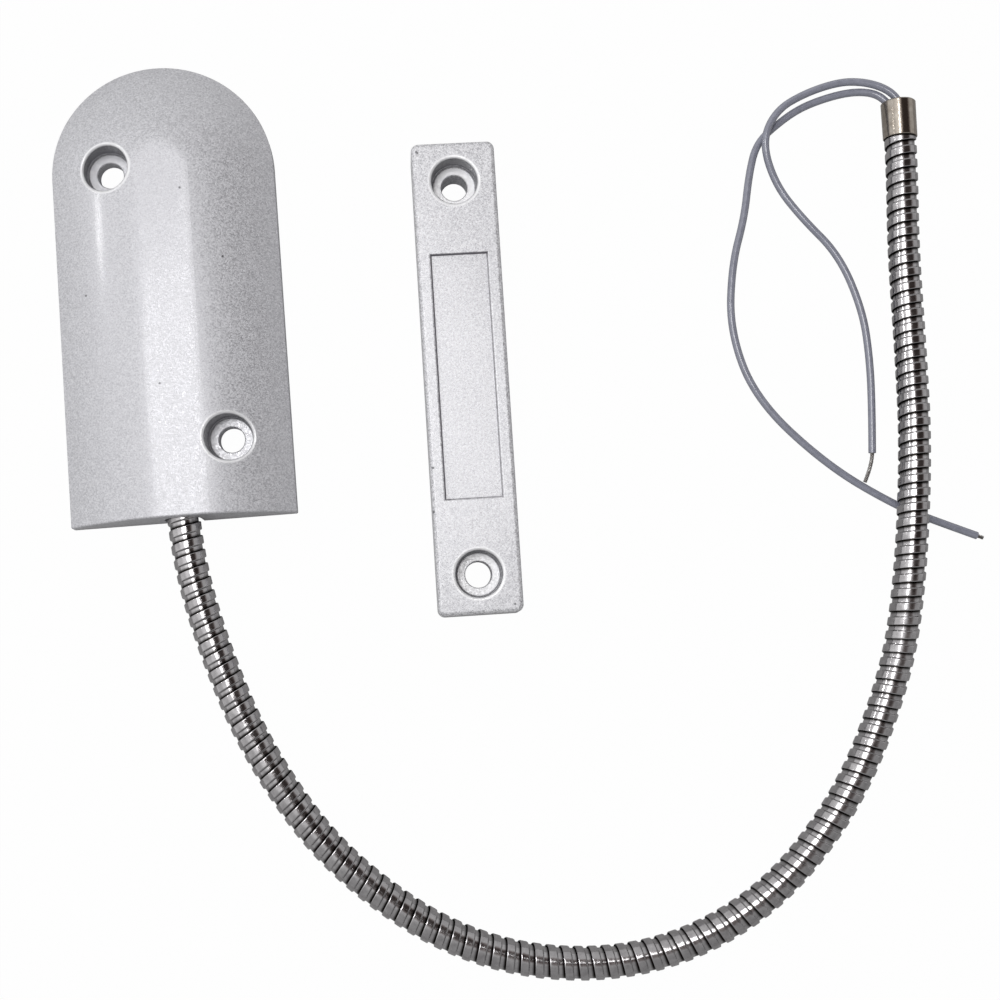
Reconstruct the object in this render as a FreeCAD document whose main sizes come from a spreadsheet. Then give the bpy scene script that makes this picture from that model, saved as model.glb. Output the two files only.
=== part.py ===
import FreeCAD
import Part
import Sketcher
import math
import os
import re

# Surface-mount door alarm sensor: a reed switch unit with an armoured lead, and its magnet unit.
# Both lie on their mounting faces at z = 0, as they would on a floor or a door.
# +Y runs along the switch housing to its round end, +X runs from the switch to the magnet.
# The origin is midway between the switch housing's two screw holes, on the mounting face.
# All lengths are in millimetres and all angles in degrees.

Vector = FreeCAD.Vector
UP = Vector(0, 0, 1)
doc = FreeCAD.newDocument("door_alarm_sensor")
sheet = doc.addObject("Spreadsheet::Sheet", "Sizes")

driving_sizes = [
    # Switch housing, a D-shaped die casting that is crowned across its width
    ("housing_length", 105.0),
    ("housing_width", 50.3),
    ("housing_crest", 10.35),
    ("crest_flat_width", 10.8),
    ("housing_shoulder", 2.57),
    ("housing_wall", 2.0),
    ("housing_edge_radius", 0.4),
    ("crest_blend_radius", 16.0),
    ("end_face_draft", 3.5),
    # Its two screws stand on a diagonal, each with its head in a deep round pocket
    ("screw_to_side", 13.4),
    ("lower_screw_to_end", 17.5),
    ("upper_screw_to_tip", 24.9),
    ("screw_hole_diameter", 5.8),
    ("head_pocket_diameter", 10.3),
    ("switch_screw_floor", 3.1),
    ("pocket_rim_radius", 0.6),
    ("pocket_floor_radius", 0.5),
    ("hole_edge_chamfer", 0.2),
    ("switch_boss_wall", 1.4),
    ("potting_recess", 0.5),
    # Armoured hose, and the notch that it leaves the housing by
    ("hose_diameter", 7.3),
    ("hose_bore", 5.3),
    ("hose_inside_housing", 7.3),
    ("outlet_height", 4.25),
    ("outlet_clearance", 0.35),
    ("crimp_ring_length", 4.2),
    ("crimp_ring_wall", 0.3),
    ("crimp_ring_clearance", 0.05),
    # Ferrule on the hose's free end, with its insulating bush
    ("ferrule_mouth_diameter", 7.95),
    ("ferrule_tail_diameter", 7.8),
    ("ferrule_overlap", 3.7),
    ("ferrule_front_length", 4.9),
    ("ferrule_front_bore", 6.8),
    ("ferrule_fit_clearance", 0.05),
    ("ferrule_mouth_chamfer", 0.3),
    ("ferrule_tail_chamfer", 0.12),
    ("bush_length", 2.65),
    ("bush_bore", 5.1),
    ("bush_clearance", 0.1),
    ("bush_mouth_flare", 0.4),
    # The two insulated wires and their stripped ends
    ("wire_diameter", 1.75),
    ("wire_pair_gap", 0.25),
    ("strand_bundle_diameter", 1.1),
    ("floor_gap", 0.05),
    # Reed switch, a sealed glass tube with two flat blades, in a soft sleeve
    ("reed_to_side", 11.15),
    ("reed_to_tip", 36.2),
    ("reed_height", 3.4),
    ("capsule_length", 16.0),
    ("capsule_diameter", 2.4),
    ("capsule_glass", 0.4),
    ("capsule_seal_length", 2.6),
    ("capsule_end_bevel", 0.5),
    ("lead_diameter", 0.6),
    ("lead_reach", 15.0),
    ("paddle_width", 0.9),
    ("paddle_thickness", 0.25),
    ("paddle_length", 4.5),
    ("paddle_root_length", 0.6),
    ("paddle_overlap", 1.5),
    ("contact_gap", 0.13),
    ("buffer_length", 17.2),
    ("buffer_bore", 2.5),
    ("buffer_diameter", 3.6),
    ("solder_diameter", 1.5),
    ("solder_length", 3.0),
    ("solder_wets_lead", 2.0),
    ("sleeve_bore", 1.85),
    ("sleeve_diameter", 2.6),
    ("sleeve_length", 6.2),
    ("sleeve_onto_lead", 1.0),
    # Magnet unit, a drafted bar casting with a recessed label panel
    ("magnet_length", 106.5),
    ("magnet_width", 19.2),
    ("magnet_height", 11.7),
    ("magnet_draft", 1.2),
    ("magnet_corner_radius", 1.7),
    ("magnet_edge_radius", 0.9),
    ("magnet_screw_to_end", 9.1),
    ("magnet_screw_floor", 6.2),
    ("magnet_hole_diameter", 5.9),
    ("magnet_pocket_diameter", 10.3),
    ("magnet_wall", 2.0),
    ("magnet_boss_wall", 2.0),
    ("magnet_cavity_radius", 1.0),
    ("panel_end_to_screw", 16.85),
    ("panel_width", 12.3),
    ("panel_depth", 0.7),
    ("panel_rim_radius", 0.6),
    ("bar_end_clearance", 7.0),
    ("bar_width", 12.7),
    ("bar_height", 6.0),
    ("bar_edge_radius", 0.6),
    # Where the magnet unit lies beside the switch
    ("magnet_place_across", 65.35),
    ("magnet_place_along", -21.85),
    ("magnet_turn", -0.9),
]

for row, (name, number) in enumerate(driving_sizes, start=1):
    cell = "A%d" % row
    sheet.set(cell, str(number))
    sheet.setAlias(cell, name)
doc.recompute()


# Places and heights that several pieces share, as expressions in the sheet's names
SCREWS_ACROSS = "(housing_width - 2 * screw_to_side)"
SCREWS_ALONG = "(housing_length - lower_screw_to_end - upper_screw_to_tip)"
END_FACE_Y = "(-%s / 2 - lower_screw_to_end)" % SCREWS_ALONG
ARC_CENTRE_Y = "(%s + housing_length - housing_width / 2)" % END_FACE_Y
CROWN_CENTRE_Z = ("(((crest_flat_width / 2) ^ 2 + housing_crest ^ 2 - (housing_width / 2) ^ 2"
                  " - housing_shoulder ^ 2) / (2 * (housing_crest - housing_shoulder)))")
CROWN_RADIUS = "sqrt((housing_width / 2) ^ 2 + (housing_shoulder - %s) ^ 2)" % CROWN_CENTRE_Z
END_WALL = "(housing_wall + housing_crest * tan(end_face_draft))"
HOSE_INNER_END_Y = "(%s + hose_inside_housing)" % END_FACE_Y
REED_X = "(housing_width / 2 - reed_to_side)"
REED_Y = "(%s + housing_length - reed_to_tip)" % END_FACE_Y
MAGNET_ROOF = "(magnet_height - panel_depth - magnet_wall)"
MAGNET_SCREWS_APART = "(magnet_length - 2 * magnet_screw_to_end)"
PANEL_LENGTH = "(%s - 2 * panel_end_to_screw)" % MAGNET_SCREWS_APART
CAVITY_HALF_LENGTH = "(%s / 2 - magnet_pocket_diameter / 2 - magnet_boss_wall)" % MAGNET_SCREWS_APART
BAR_LENGTH = "(2 * %s - 2 * bar_end_clearance)" % CAVITY_HALF_LENGTH
switch_screws = [("-%s / 2" % SCREWS_ACROSS, SCREWS_ALONG + " / 2"),
                 (SCREWS_ACROSS + " / 2", "-%s / 2" % SCREWS_ALONG)]
magnet_screws = [("0", MAGNET_SCREWS_APART + " / 2"), ("0", "-%s / 2" % MAGNET_SCREWS_APART)]


def val(expression):
    """The present value of an expression written in the sheet's names."""
    return float(sheet.evalExpression(expression))


def bound(expression):
    """The same expression as an object outside the sheet writes it."""
    return re.sub(r"\b([a-z]+_\w+)", r"Sizes.\1", expression)


def bind(thing, field, expression):
    thing.setExpression(field, bound(expression))


# Sketch and feature helpers

def new_body(label):
    body = doc.addObject("PartDesign::Body", label)
    body.Label = label
    return body


def place(thing, across="0", along="0", height="0"):
    """Binds where a sub-part stands."""
    bind(thing, "Placement.Base.x", across)
    bind(thing, "Placement.Base.y", along)
    bind(thing, "Placement.Base.z", height)


def new_sketch(body, name, role, offset="0"):
    """A sketch on one of the body's own origin planes, moved off it along its normal."""
    sketch = body.newObject("Sketcher::SketchObject", name)
    plane = [item for item in body.Origin.OriginFeatures if item.Role == role][0]
    sketch.AttachmentSupport = [(plane, "")]
    sketch.MapMode = "FlatFace"
    bind(sketch, "AttachmentOffset.Base.z", offset)
    return sketch


def dimension(sketch, kind, where, expression):
    index = sketch.addConstraint(Sketcher.Constraint(kind, *where, val(expression)))
    bind(sketch, "Constraints[%d]" % index, expression)


def pin_point(sketch, edge, end, across, up):
    """Holds one end or centre of an edge at a distance from the sketch's origin."""
    for kind, axis, expression in (("DistanceX", -2, across), ("DistanceY", -1, up)):
        if expression == "0":
            sketch.addConstraint(Sketcher.Constraint("PointOnObject", edge, end, axis))
        else:
            dimension(sketch, kind, (-1, 1, edge, end), expression)


def draw_circle(sketch, across, up, diameter):
    centre = Vector(val(across), val(up), 0)
    edge = sketch.addGeometry(Part.Circle(centre, UP, val(diameter) / 2), False)
    pin_point(sketch, edge, 3, across, up)
    dimension(sketch, "Diameter", (edge,), diameter)


def draw_outline(sketch, corners):
    """A closed outline of straight lines through corners, each an (across, up) pair."""
    spots = [Vector(val(across), val(up), 0) for across, up in corners]
    lines = []
    for here, there in zip(spots, spots[1:] + spots[:1]):
        lines.append(sketch.addGeometry(Part.LineSegment(here, there), False))
    for line, following in zip(lines, lines[1:] + lines[:1]):
        sketch.addConstraint(Sketcher.Constraint("Coincident", line, 2, following, 1))
    for line, (across, up) in zip(lines, corners):
        pin_point(sketch, line, 1, across, up)


def draw_rectangle(sketch, width, length):
    """A rectangle centred on the sketch's origin."""
    half_width = "(%s) / 2" % width
    half_length = "(%s) / 2" % length
    draw_outline(sketch, [("-" + half_width, "-" + half_length), (half_width, "-" + half_length),
                          (half_width, half_length), ("-" + half_width, half_length)])


def add_feature(body, kind, name, profile):
    feature = body.newObject("PartDesign::" + kind, name)
    feature.Profile = profile
    return feature


def add_pad(body, name, profile, length, backwards=False):
    pad = add_feature(body, "Pad", name, profile)
    bind(pad, "Length", length)
    pad.Reversed = backwards
    return pad


def add_pocket(body, name, profile, depth, backwards=False):
    """A pocket that is proved to cut: one that points away from the solid would remove nothing."""
    doc.recompute()
    before = body.Shape.Volume
    pocket = add_feature(body, "Pocket", name, profile)
    bind(pocket, "Length", depth)
    pocket.Reversed = backwards
    doc.recompute()
    assert body.Shape.Volume < before, name + " cuts nothing"
    return pocket


def add_turning(body, name, profile, angle=360):
    turning = add_feature(body, "Revolution", name, profile)
    turning.ReferenceAxis = (profile, ["V_Axis"])
    turning.Angle = angle
    return turning


def edges_where(body, test):
    """Names of the edges whose sampled points all satisfy a test."""
    doc.recompute()
    names = []
    for number, edge in enumerate(body.Tip.Shape.Edges, start=1):
        has_length = edge.Length > 0.001
        if has_length and all(test(point) for point in edge.discretize(5)):
            names.append("Edge%d" % number)
    assert names, "no edge found on " + body.Label
    return names


def dress_edges(body, kind, name, field, size, test):
    """A fillet or chamfer on the edges that a test finds."""
    names = edges_where(body, test)
    base = body.Tip
    dressing = body.newObject("PartDesign::" + kind, name)
    dressing.Base = (base, names)
    bind(dressing, field, size)
    doc.recompute()
    return dressing


def counterbored_holes(body, name, screws, top, floor, hole, pocket):
    """Screw holes whose heads sink in round pockets down to a flat floor."""
    sketch = new_sketch(body, name + "_centres", "XY_Plane", top)
    for across, up in screws:
        draw_circle(sketch, across, up, hole)
    doc.recompute()
    before = body.Shape.Volume
    holes = add_feature(body, "Hole", name, sketch)
    doc.recompute()
    holes.ThreadType = "None"
    holes.DepthType = "ThroughAll"
    holes.HoleCutType = "Counterbore"
    holes.HoleCutCustomValues = True
    bind(holes, "Diameter", hole)
    bind(holes, "HoleCutDiameter", pocket)
    bind(holes, "HoleCutDepth", "%s - %s" % (top, floor))
    doc.recompute()
    assert body.Shape.Volume < before, name + " cuts nothing"
    return holes


def near_axis(point, screws, radius):
    """Whether a point is at a radius from one of the screws' axes."""
    for across, up in screws:
        reach = math.hypot(point.x - val(across), point.y - val(up))
        if abs(reach - radius) < 0.01:
            return True
    return False


def turned_body(label, corners):
    """A piece turned about its own Y axis from (radius, along) corners."""
    body = new_body(label)
    profile = new_sketch(body, label + "_profile", "XY_Plane")
    draw_outline(profile, corners)
    add_turning(body, label + "_turning", profile)
    return body


# Switch housing and its cavity

def draw_crown_section(sketch, inset, base, whole):
    """The housing's cross-section: upright sides, a round crown and a flat that it runs softly into."""
    half_width = "(housing_width / 2 - %s)" % inset
    radius = "(%s - %s)" % (CROWN_RADIUS, inset)
    blend_radius = "(crest_blend_radius - %s)" % inset
    top = "(housing_crest - %s)" % inset
    side = val(half_width)
    low = val(base)
    high = val(top)
    centre = Vector(0, val(CROWN_CENTRE_Z), 0)
    bend = val(radius)
    blend = val(blend_radius)
    shoulder = centre.y + math.sqrt(bend ** 2 - side ** 2)
    shoulder_angle = math.atan2(shoulder - centre.y, side)
    blend_rise = high - blend - centre.y
    crease = math.sqrt((bend - blend) ** 2 - blend_rise ** 2)
    blend_angle = math.atan2(blend_rise, crease)
    crown = Part.Circle(centre, UP, bend)
    right_blend = Part.Circle(Vector(crease, high - blend, 0), UP, blend)
    far_side = -side if whole else 0.0
    far_crease = -crease if whole else 0.0
    edges = [Part.LineSegment(Vector(far_side, low, 0), Vector(side, low, 0)),
             Part.LineSegment(Vector(side, low, 0), Vector(side, shoulder, 0)),
             Part.ArcOfCircle(crown, shoulder_angle, blend_angle),
             Part.ArcOfCircle(right_blend, blend_angle, math.pi / 2),
             Part.LineSegment(Vector(crease, high, 0), Vector(far_crease, high, 0))]
    if whole:
        left_blend = Part.Circle(Vector(-crease, high - blend, 0), UP, blend)
        edges.append(Part.ArcOfCircle(left_blend, math.pi / 2, math.pi - blend_angle))
        edges.append(Part.ArcOfCircle(crown, math.pi - blend_angle, math.pi - shoulder_angle))
        edges.append(Part.LineSegment(Vector(-side, shoulder, 0), Vector(-side, low, 0)))
    else:
        edges.append(Part.LineSegment(Vector(0, high, 0), Vector(0, low, 0)))
    sketch.addGeometry(edges, False)
    last = len(edges) - 1
    soft_joints = (2, 3, 4, 5) if whole else (2, 3)
    for edge in range(last):
        kind = "Tangent" if edge in soft_joints else "Coincident"
        sketch.addConstraint(Sketcher.Constraint(kind, edge, 2, edge + 1, 1))
    sketch.addConstraint(Sketcher.Constraint("Coincident", last, 2, 0, 1))
    for kind, edge in (("Vertical", 1), ("Horizontal", 4), ("Vertical", last)):
        sketch.addConstraint(Sketcher.Constraint(kind, edge))
    if whole:
        sketch.addConstraint(Sketcher.Constraint("Symmetric", 0, 1, 0, 2, -2))
        sketch.addConstraint(Sketcher.Constraint("Coincident", 2, 3, 6, 3))
        sketch.addConstraint(Sketcher.Constraint("Equal", 2, 6))
        sketch.addConstraint(Sketcher.Constraint("Equal", 3, 5))
    else:
        sketch.addConstraint(Sketcher.Constraint("Horizontal", 0))
        sketch.addConstraint(Sketcher.Constraint("PointOnObject", last, 1, -2))
    dimension(sketch, "DistanceX", (-1, 1, 1, 1), half_width)
    pin_point(sketch, 2, 3, "0", CROWN_CENTRE_Z)
    dimension(sketch, "Radius", (2,), radius)
    dimension(sketch, "Radius", (3,), blend_radius)
    dimension(sketch, "DistanceY", (-1, 1, 4, 1), top)
    if base == "0":
        sketch.addConstraint(Sketcher.Constraint("PointOnObject", 1, 1, -1))
    else:
        dimension(sketch, "DistanceY", (-1, 1, 1, 1), base)


def crowned_block(label, inset, base, end_wall):
    """A straight crowned length, closed by the same section turned half round."""
    body = new_body(label)
    section = new_sketch(body, label + "_section", "XZ_Plane", "-" + ARC_CENTRE_Y)
    draw_crown_section(section, inset, base, whole=True)
    add_pad(body, label + "_straight", section, "housing_length - housing_width / 2 - " + end_wall)
    nose_section = new_sketch(body, label + "_nose_section", "XZ_Plane", "-" + ARC_CENTRE_Y)
    draw_crown_section(nose_section, inset, base, whole=False)
    add_turning(body, label + "_nose", nose_section, angle=180)
    return body


def switch_cavity(label, base):
    """The housing's hollow as a solid, with holes where the screw bosses stand in it."""
    body = crowned_block(label, "housing_wall", base, END_WALL)
    bosses = new_sketch(body, label + "_bosses", "XY_Plane", "housing_crest")
    for across, up in switch_screws:
        draw_circle(bosses, across, up, "head_pocket_diameter + 2 * switch_boss_wall")
    add_pocket(body, label + "_boss_holes", bosses, "2 * housing_crest")
    return body


def make_switch_housing():
    body = crowned_block("switch_housing", "0", "0", "0")

    # The square end leans back by its draft
    wedge = new_sketch(body, "end_draft_section", "YZ_Plane", "housing_width")
    lean = "%s + 2 * housing_crest * tan(end_face_draft)" % END_FACE_Y
    clear = "%s - housing_wall" % END_FACE_Y
    draw_outline(wedge, [(END_FACE_Y, "0"), (lean, "2 * housing_crest"),
                         (clear, "2 * housing_crest"), (clear, "0")])
    add_pocket(body, "end_draft", wedge, "2 * housing_width")

    # One soft edge runs round the shoulder, over the square end and down its corners
    shoulder = val("housing_shoulder")
    slope = math.tan(math.radians(val("end_face_draft")))

    def on_soft_edge(point):
        on_shoulder = abs(point.z - shoulder) < 0.01
        on_end_face = abs(point.y - val(END_FACE_Y) - point.z * slope) < 0.01
        return on_shoulder or (on_end_face and point.z > -0.01)

    def upper_edge(edge):
        return edge.BoundBox.ZMax > 0.01

    names = [name for name in edges_where(body, on_soft_edge)
             if upper_edge(body.Tip.Shape.getElement(name))]
    base = body.Tip
    soft_edge = body.newObject("PartDesign::Fillet", "soft_edge")
    soft_edge.Base = (base, names)
    bind(soft_edge, "Radius", "housing_edge_radius")
    doc.recompute()

    # The hollow, open at the back
    hollow = body.newObject("PartDesign::Boolean", "hollow")
    hollow.Type = "Cut"
    hollow.setObjects([switch_cavity("switch_core", "-housing_wall")])
    doc.recompute()

    # Screw holes in their pockets, with a soft rim and a chamfered hole edge
    counterbored_holes(body, "switch_screw_holes", switch_screws, "housing_crest",
                       "switch_screw_floor", "screw_hole_diameter", "head_pocket_diameter")
    floor = val("switch_screw_floor")
    pocket_radius = val("head_pocket_diameter / 2")
    hole_radius = val("screw_hole_diameter / 2")
    dress_edges(body, "Chamfer", "hole_edges", "Size", "hole_edge_chamfer",
                lambda point: abs(point.z - floor) < 0.01 and near_axis(point, switch_screws, hole_radius))
    dress_edges(body, "Fillet", "pocket_floor_corners", "Radius", "pocket_floor_radius",
                lambda point: abs(point.z - floor) < 0.01 and near_axis(point, switch_screws, pocket_radius))
    dress_edges(body, "Fillet", "pocket_rims", "Radius", "pocket_rim_radius",
                lambda point: point.z > floor + 1 and near_axis(point, switch_screws, pocket_radius))

    # The notch for the hose, open at the back so that the hose is laid in
    notch = new_sketch(body, "hose_notch_section", "XZ_Plane", "-%s + housing_wall" % END_FACE_Y)
    draw_notch(notch)
    add_pocket(body, "hose_notch", notch, "2 * housing_wall + " + END_WALL)
    place(body)
    return body


def draw_notch(sketch):
    """An upturned U round the hose, with its legs run out below the mounting face."""
    radius = "(hose_diameter / 2 + outlet_clearance)"
    foot = "-housing_wall"
    reach = val(radius)
    crown = Part.Circle(Vector(0, val("outlet_height"), 0), UP, reach)
    left = -reach
    low = val(foot)
    high = val("outlet_height")
    sketch.addGeometry([Part.ArcOfCircle(crown, 0, math.pi),
                        Part.LineSegment(Vector(left, high, 0), Vector(left, low, 0)),
                        Part.LineSegment(Vector(left, low, 0), Vector(reach, low, 0)),
                        Part.LineSegment(Vector(reach, low, 0), Vector(reach, high, 0))], False)
    for edge in range(3):
        sketch.addConstraint(Sketcher.Constraint("Coincident", edge, 2, edge + 1, 1))
    sketch.addConstraint(Sketcher.Constraint("Coincident", 3, 2, 0, 1))
    for kind, edge in (("Vertical", 1), ("Horizontal", 2), ("Vertical", 3)):
        sketch.addConstraint(Sketcher.Constraint(kind, edge))
    pin_point(sketch, 0, 3, "0", "outlet_height")
    dimension(sketch, "Radius", (0,), radius)
    sketch.addConstraint(Sketcher.Constraint("Horizontal", 0, 3, 0, 1))
    sketch.addConstraint(Sketcher.Constraint("Horizontal", 0, 3, 0, 2))
    dimension(sketch, "DistanceY", (-1, 1, 2, 1), foot)


# Armoured hose and wires: straight runs joined by arcs as large as the runs allow

hose_lie = val("hose_diameter / 2 + 2 * floor_gap")
wire_lie = val("wire_diameter / 2 + floor_gap")
over_wire = val("hose_diameter / 2 + wire_diameter + 10 * floor_gap")
wire_over_wire = wire_lie + val("wire_diameter + 4 * floor_gap")
outlet_z = val("outlet_height")
hose_inner_y = val("hose_inside_housing")
hose_slope_z = hose_lie + 0.15
hose_bend_z = hose_lie + 0.32
ferrule_z = hose_lie + 0.45

# Points of the hose's route, (across, along, height), with the end face's foot as their origin
hose_route = [
    (0.0, hose_inner_y, outlet_z), (0.0, -5.2, outlet_z),
    (4.5, -27.7, hose_lie), (13.5, -53.7, hose_lie), (30.0, -79.7, hose_lie),
    (58.0, -100.7, hose_lie), (91.5, -106.2, hose_lie), (121.0, -96.7, hose_lie),
    (143.0, -75.2, hose_lie), (157.0, -48.2, hose_lie), (162.0, -26.7, over_wire),
    (166.5, 3.3, over_wire), (168.5, 26.8, hose_lie), (169.2, 50.0, hose_slope_z),
    (170.95, 70.0, hose_bend_z), (171.35, 80.45, ferrule_z),
]

# Wire A lies above wire B in the hose; both turn side by side just before the ferrule
pair_offset = val("(wire_diameter + wire_pair_gap) / 2")
reed_x = val(REED_X)
reed_y = val("housing_length - reed_to_tip")
reed_z = val("reed_height")
joint_reach = val("lead_reach + solder_length - solder_wets_lead")

wire_a_inner = [
    (reed_x, reed_y - joint_reach, reed_z), (reed_x, 0.6 * reed_y, reed_z),
    (0.57 * reed_x, 0.38 * reed_y, outlet_z), (0.0, 0.215 * reed_y, outlet_z + pair_offset),
]
wire_a_tail = [
    (171.65, 70.0, hose_bend_z + 0.7), (172.1, 77.8, ferrule_z + 0.3), (172.35, 82.9, ferrule_z + 0.4),
    (171.3, 86.5, ferrule_z + 0.4), (168.5, 89.1, ferrule_z + 0.2), (164.0, 90.9, 4.0),
    (158.5, 91.5, 3.4), (150.5, 89.6, wire_over_wire), (143.0, 85.9, wire_over_wire),
    (138.9, 78.6, wire_over_wire), (141.5, 68.8, wire_lie), (147.0, 60.3, wire_lie),
    (155.0, 50.8, wire_lie), (159.2, 37.3, wire_lie), (159.7, 25.8, wire_lie),
    (159.0, 13.8, wire_lie), (158.0, 3.8, wire_lie),
]
joint_b_y = reed_y + joint_reach
wire_b_inner = [
    (reed_x, joint_b_y, reed_z), (reed_x, joint_b_y + 4.3, reed_z),
    (0.82 * reed_x, joint_b_y + 7.8, reed_z), (0.53 * reed_x, joint_b_y + 9.1, reed_z),
    (0.24 * reed_x, joint_b_y + 7.8, reed_z), (0.06 * reed_x, joint_b_y + 4.3, reed_z),
    (0.085 * reed_x, joint_b_y - 3.5, reed_z), (0.115 * reed_x, reed_y - 1.0, reed_z),
    (-0.4, 0.74 * reed_y, reed_z), (0.8, 0.48 * reed_y, outlet_z - pair_offset),
    (0.0, 0.23 * reed_y, outlet_z - pair_offset),
]
wire_b_tail = [
    (170.25, 70.0, hose_bend_z - 0.7), (170.1, 76.5, ferrule_z - 0.3), (170.2, 80.0, ferrule_z - 0.3),
    (170.05, 83.5, ferrule_z - 0.4), (168.75, 86.6, ferrule_z - 0.7), (165.95, 88.6, 3.0),
    (161.3, 89.2, 2.5), (155.5, 88.4, 1.9), (149.0, 86.5, 1.3), (143.5, 83.2, wire_lie), (138.0, 78.8, wire_lie),
    (135.5, 71.3, wire_lie), (133.5, 61.3, wire_lie), (129.5, 50.3, wire_lie),
    (127.5, 34.8, wire_lie), (132.0, 18.3, wire_lie), (147.0, 1.8, wire_lie),
    (162.0, -8.7, wire_lie), (171.5, -13.2, wire_lie), (180.5, -17.2, wire_lie),
]
strands_lie = val("strand_bundle_diameter / 2 + floor_gap")
wire_a_strand_route = [wire_a_tail[-1], (157.75, 1.3, wire_lie), (155.7, -2.8, strands_lie)]
wire_b_strand_route = [wire_b_tail[-1], (181.85, -17.8, wire_lie)]


def in_the_hose(lift):
    """The hose's own points up to its last bend, lifted off its axis."""
    return [(x, y, z + lift) for x, y, z in hose_route[1:-2]]


def laid(route):
    """Route points carried from the end face's foot to the part's origin."""
    return [Vector(x, y + val(END_FACE_Y), z) for x, y, z in route]


def route_wire(points, name):
    """One wire of tangent lines and arcs; prints the radii and returns the wire and its length."""
    share = 0.45
    edges = []
    radii = []
    here = points[0]
    for before, corner, after in zip(points, points[1:], points[2:]):
        back = (before - corner).normalize()
        ahead = (after - corner).normalize()
        half_turn = (math.pi - back.getAngle(ahead)) / 2
        reach = share * min((corner - before).Length, (after - corner).Length)
        radius = reach / math.tan(half_turn)
        radii.append(radius)
        start = corner + back * reach
        finish = corner + ahead * reach
        inward = (back + ahead).normalize()
        middle = corner + inward * (radius / math.cos(half_turn) - radius)
        edges.append(Part.LineSegment(here, start).toShape())
        edges.append(Part.Arc(start, middle, finish).toShape())
        here = finish
    edges.append(Part.LineSegment(here, points[-1]).toShape())
    wire = Part.Wire(edges)
    print(name, "length", round(wire.Length, 1), "radii", [round(radius, 1) for radius in radii])
    return wire


def swept_round(wire, points, diameter, name):
    """A round rod along a route, with its volume compared with section times length."""
    circle = Part.Circle(points[0], points[1] - points[0], diameter / 2)
    profile = Part.Wire([circle.toShape()])
    rod = wire.makePipeShell([profile], True, False)
    expected = math.pi * diameter ** 2 / 4 * wire.Length
    assert abs(rod.Volume / expected - 1) < 0.01, name + " has the wrong volume"
    return rod


def add_routed(label, route, diameter, bore=0.0):
    """A plain cord piece along its route, hollow if it has a bore."""
    points = laid(route)
    wire = route_wire(points, label) if len(points) > 2 else Part.Wire([Part.LineSegment(*points).toShape()])
    shape = swept_round(wire, points, diameter, label)
    if bore:
        shape = shape.cut(swept_round(wire, points, bore, label))
    piece = doc.addObject("Part::Feature", label)
    piece.Label = label
    piece.Shape = shape
    piece.Placement = FreeCAD.Placement()
    return piece


def make_cords():
    hose = add_routed("armoured_conduit", hose_route, val("hose_diameter"), val("hose_bore"))
    gauge = val("wire_diameter")
    bundle = val("strand_bundle_diameter")
    wire_a = add_routed("wire_a", wire_a_inner + in_the_hose(pair_offset) + wire_a_tail, gauge)
    wire_b = add_routed("wire_b", wire_b_inner + in_the_hose(-pair_offset) + wire_b_tail, gauge)
    strands_a = add_routed("wire_a_strands", wire_a_strand_route, bundle)
    strands_b = add_routed("wire_b_strands", wire_b_strand_route, bundle)
    return [hose, wire_a, wire_b, strands_a, strands_b]


# Hose end fittings

def make_crimp_ring():
    inner = "hose_diameter / 2 + crimp_ring_clearance"
    outer = inner + " + crimp_ring_wall"
    ring = turned_body("hose_crimp_ring", [(inner, "0"), (outer, "0"), (outer, "crimp_ring_length"),
                                           (inner, "crimp_ring_length")])
    place(ring, "0", "%s - crimp_ring_length" % HOSE_INNER_END_Y, "outlet_height")
    return ring


def along_hose_end(piece, ahead):
    """Sets a turned piece on the hose's free end, its own Y axis along the hose's last run."""
    before, end = laid(hose_route[-2:])
    direction = (end - before).normalize()
    piece.Placement = FreeCAD.Placement(end + direction * ahead, FreeCAD.Rotation(Vector(0, 1, 0), direction))


def make_end_ferrule():
    bore = "hose_diameter / 2 + ferrule_fit_clearance"
    tail = "ferrule_tail_diameter / 2"
    mouth = "ferrule_mouth_diameter / 2"
    front = "ferrule_front_bore / 2"
    ferrule = turned_body("end_ferrule", [
        (bore, "-ferrule_overlap"), (tail + " - ferrule_tail_chamfer", "-ferrule_overlap"),
        (tail, "-ferrule_overlap + ferrule_tail_chamfer"),
        (mouth, "ferrule_front_length - ferrule_mouth_chamfer"),
        (mouth + " - ferrule_mouth_chamfer", "ferrule_front_length"),
        (front + " + ferrule_tail_chamfer", "ferrule_front_length"),
        (front, "ferrule_front_length - ferrule_tail_chamfer"),
        (front, "ferrule_fit_clearance"), (bore, "ferrule_fit_clearance")])
    along_hose_end(ferrule, 0.0)
    return ferrule


def make_ferrule_bush():
    bore = "bush_bore / 2"
    outer = "ferrule_front_bore / 2 - bush_clearance"
    bush = turned_body("ferrule_bush", [
        (bore, "0"), (outer, "0"), (outer, "bush_length"), (bore + " + bush_mouth_flare", "bush_length"),
        (bore, "bush_length - bush_mouth_flare")])
    along_hose_end(bush, val("ferrule_fit_clearance + bush_clearance"))
    return bush


# Reed switch, potted in the housing beside the magnet

half_turn = FreeCAD.Rotation(UP, 180)
flip_over = FreeCAD.Rotation(Vector(0, 1, 0), 180)


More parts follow.
